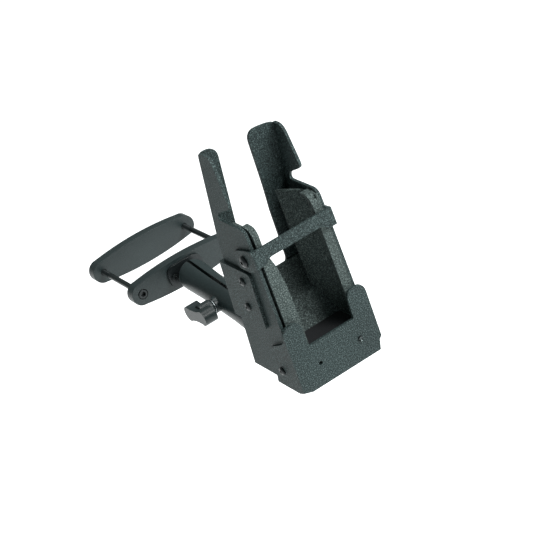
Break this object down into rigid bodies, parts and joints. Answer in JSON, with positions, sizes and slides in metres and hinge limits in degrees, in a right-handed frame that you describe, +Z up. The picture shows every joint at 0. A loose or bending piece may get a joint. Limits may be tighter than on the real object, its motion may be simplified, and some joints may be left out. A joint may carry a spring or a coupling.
{
  "type": "device holster on a ball arm with a post clamp",
  "caption": "Open-fronted holster with two fingers, a strap and a pocket, on a double-socket ball arm with a two-plate post clamp.",
  "frame": {"origin": "centre of the inner clamp plate's post side", "axes": "+Y out of that face, towards the outer clamp plate; +Z up along the post and the holster; the holster opens towards -Y"},
  "size_m": [0.125, 0.3994, 0.2387],
  "materials": {
    "textured_plastic": "near-black fine haircell texture",
    "satin_plastic": "satin moulded",
    "lining": "coarse textured",
    "rubber": "matt",
    "black_steel": "black oxide",
    "bright_steel": "zinc plated"
  },
  "bodies": {
    "clamp": {"clamp_inner_plate": "satin_plastic", "clamp_washer_left": "bright_steel", "clamp_washer_right": "bright_steel", "base_ball_post": "black_steel", "base_post_screw_left": "black_steel", "base_post_screw_right": "black_steel"},
    "clamp_bolt_left_body": {"clamp_bolt_left": "black_steel"},
    "clamp_bolt_right_body": {"clamp_bolt_right": "black_steel"},
    "outer_plate": {"clamp_outer_plate": "satin_plastic", "clamp_nut_left": "bright_steel", "clamp_nut_right": "bright_steel"},
    "base_ball": {"base_ball_rubber": "rubber"},
    "arm": {"arm_shell_right": "satin_plastic", "arm_bolt": "black_steel", "arm_spring": "bright_steel"},
    "arm_release": {"arm_shell_left": "satin_plastic"},
    "knob_body": {"knob": "satin_plastic", "knob_insert": "bright_steel", "knob_washer": "bright_steel"},
    "holder_ball": {"holder_ball_rubber": "rubber"},
    "holster": {"holder_ball_post": "black_steel", "holder_post_screw_left": "black_steel", "holder_post_screw_right": "black_steel", "ball_standoff": "satin_plastic", "back_bracket": "textured_plastic", "holster_shell": "textured_plastic", "liner": "lining", "floor_pad": "rubber", "front_pocket": "textured_plastic", "pocket_rivet": "bright_steel", "front_strap": "textured_plastic", "strap_screw_left": "black_steel", "strap_screw_right": "black_steel", "bracket_screw_upper_left": "black_steel", "bracket_screw_upper_right": "black_steel", "bracket_screw_lower_left": "black_steel", "bracket_screw_lower_right": "black_steel", "pocket_screw_left": "black_steel", "pocket_screw_right": "black_steel"}
  },
  "joints": [
    {"name": "clamp_bolt_left_turn", "type": "hinge", "parent": "clamp", "child": "clamp_bolt_left_body", "pos_m": [-0.0505, 0, 0], "axis": [0, 1, 0], "range_deg": [0, 14040]},
    {"name": "clamp_bolt_right_turn", "type": "hinge", "parent": "clamp", "child": "clamp_bolt_right_body", "pos_m": [0.0505, 0, 0], "axis": [0, 1, 0], "range_deg": [0, 14040]},
    {"name": "outer_plate_slide", "type": "slide", "parent": "clamp", "child": "outer_plate", "axis": [0, -1, 0], "range_m": [0, 0.0495]},
    {"name": "base_ball_turn", "type": "hinge", "parent": "clamp", "child": "base_ball", "pos_m": [0, -0.03, 0], "axis": [0, 1, 0], "continuous": true},
    {"name": "base_ball_tilt", "type": "hinge", "parent": "base_ball", "child": "arm", "pos_m": [0, -0.03, 0], "axis": [1, 0, 0], "range_deg": [-32, 18]},
    {"name": "arm_release_slide", "type": "slide", "parent": "arm", "child": "arm_release", "axis": [-1, 0, 0], "range_m": [0, 0.0029]},
    {"name": "knob_turn", "type": "hinge", "parent": "arm_release", "child": "knob_body", "pos_m": [0, -0.09551, -0.00804], "axis": [-1, 0, 0], "range_deg": [0, 849]},
    {"name": "holder_ball_tilt", "type": "hinge", "parent": "arm", "child": "holder_ball", "pos_m": [0, -0.16102, -0.01609], "axis": [1, 0, 0], "range_deg": [-18, 32]},
    {"name": "holder_ball_turn", "type": "hinge", "parent": "holder_ball", "child": "holster", "pos_m": [0, -0.16102, -0.01609], "axis": [0, 1, 0], "continuous": true}
  ],
  "couplings": [
    {"joint": "clamp_bolt_left_turn", "follows": "outer_plate_slide", "rad_per_m": 4947.4},
    {"joint": "clamp_bolt_right_turn", "follows": "outer_plate_slide", "rad_per_m": 4947.4},
    {"joint": "knob_turn", "follows": "arm_release_slide", "rad_per_m": 4947.4}
  ]
}
